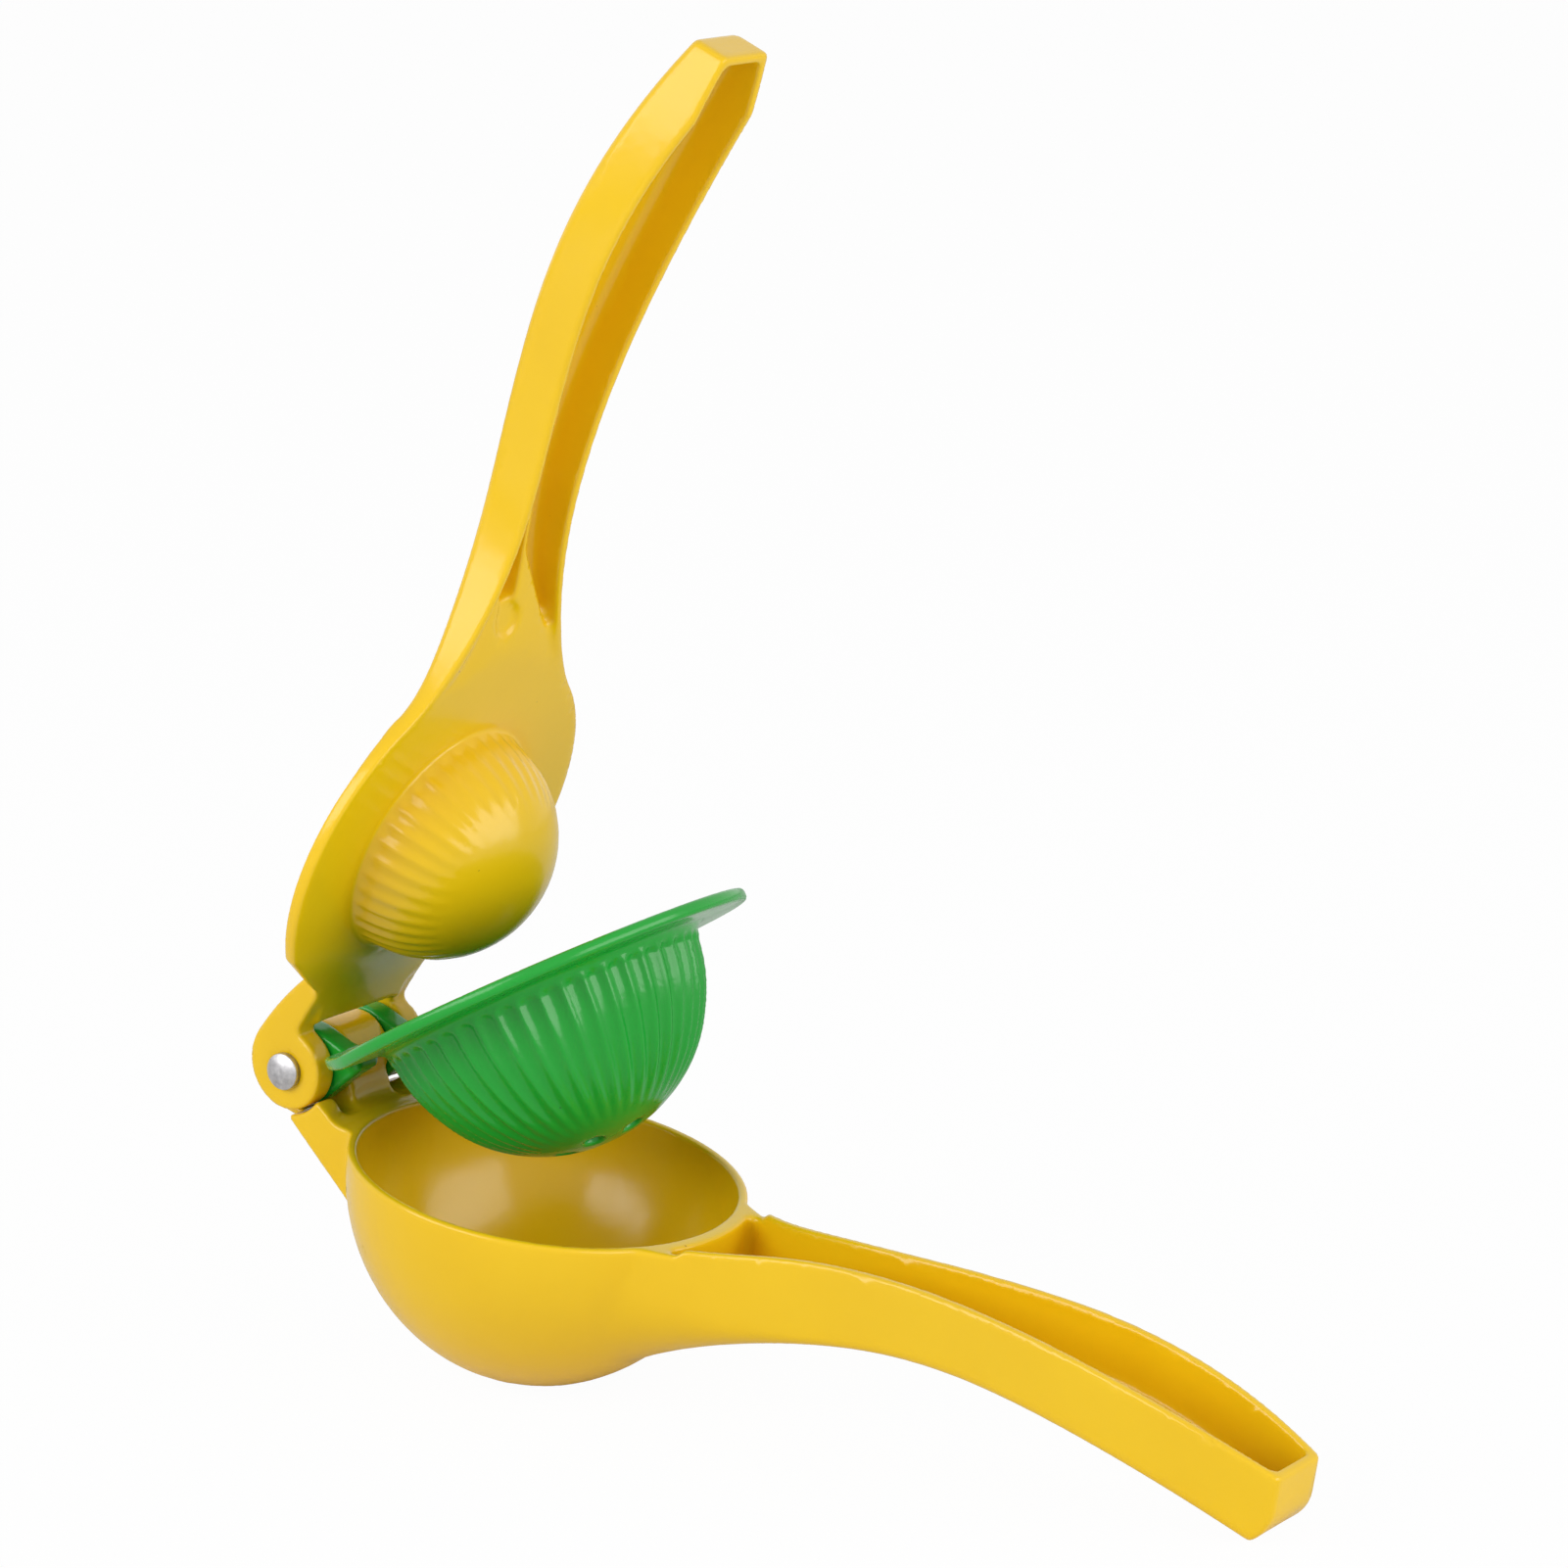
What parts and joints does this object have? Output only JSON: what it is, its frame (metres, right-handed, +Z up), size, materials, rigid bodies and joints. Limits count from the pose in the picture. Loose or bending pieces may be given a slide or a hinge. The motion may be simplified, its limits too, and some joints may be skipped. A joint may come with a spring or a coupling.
{
  "type": "citrus squeezer",
  "caption": "Hinged hand press for citrus: a bowl, a fluted strainer cup and a domed press plate turn on one rivet, with long channel handles.",
  "frame": {"origin": "middle of the flat foot ground on the underside of the bowl, on the table that the squeezer stands on", "axes": "+Z up, +X from the foot along the lower handle towards its tip, +Y across the squeezer along the rivet"},
  "size_m": [0.2061, 0.0796, 0.24],
  "materials": {
    "yellow_enamel": "glossy warm yellow enamel on cast aluminium",
    "green_enamel": "glossy mid green enamel on cast aluminium",
    "rivet_steel": "bare steel rivet with domed, brushed heads"
  },
  "bodies": {
    "lower_body": {"lower_arm": "yellow_enamel"},
    "cup_body": {"lime_cup": "green_enamel"},
    "press_body": {"press_arm": "yellow_enamel", "hinge_rivet": "rivet_steel"}
  },
  "joints": [
    {"name": "cup_hinge", "type": "hinge", "parent": "lower_body", "child": "cup_body", "pos_m": [-0.04532, 0, 0.05271], "axis": [0, -1, 0], "range_deg": [-38.3, 35]},
    {"name": "press_hinge", "type": "hinge", "parent": "cup_body", "child": "press_body", "pos_m": [-0.04532, 0, 0.05271], "axis": [0, -1, 0], "range_deg": [-36.5, 50]}
  ]
}
